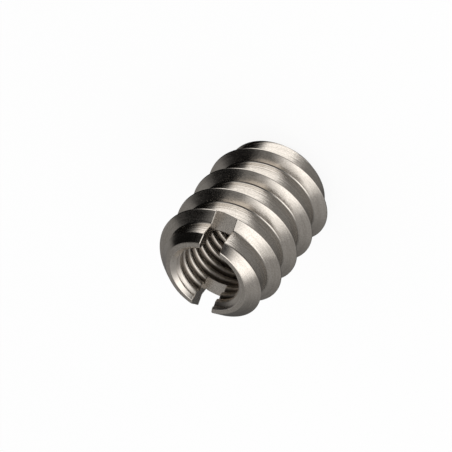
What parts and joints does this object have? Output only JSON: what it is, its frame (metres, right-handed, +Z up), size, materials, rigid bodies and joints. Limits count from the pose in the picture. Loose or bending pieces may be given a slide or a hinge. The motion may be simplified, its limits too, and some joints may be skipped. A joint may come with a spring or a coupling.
{
  "type": "threaded insert",
  "caption": "Turned steel bush with a coarse outer thread, a bore for a bolt, tapered ends and a driving slot across one end.",
  "frame": {"origin": "middle of the face of the unslotted end, on which the insert stands", "axes": "+Z up the axis to the slotted end, +X along the driving slot"},
  "size_m": [0.029, 0.029, 0.0385],
  "materials": {
    "steel": "bright, fine turned, uncoated"
  },
  "bodies": {
    "root": {"threaded_insert": "steel"}
  },
  "joints": []
}
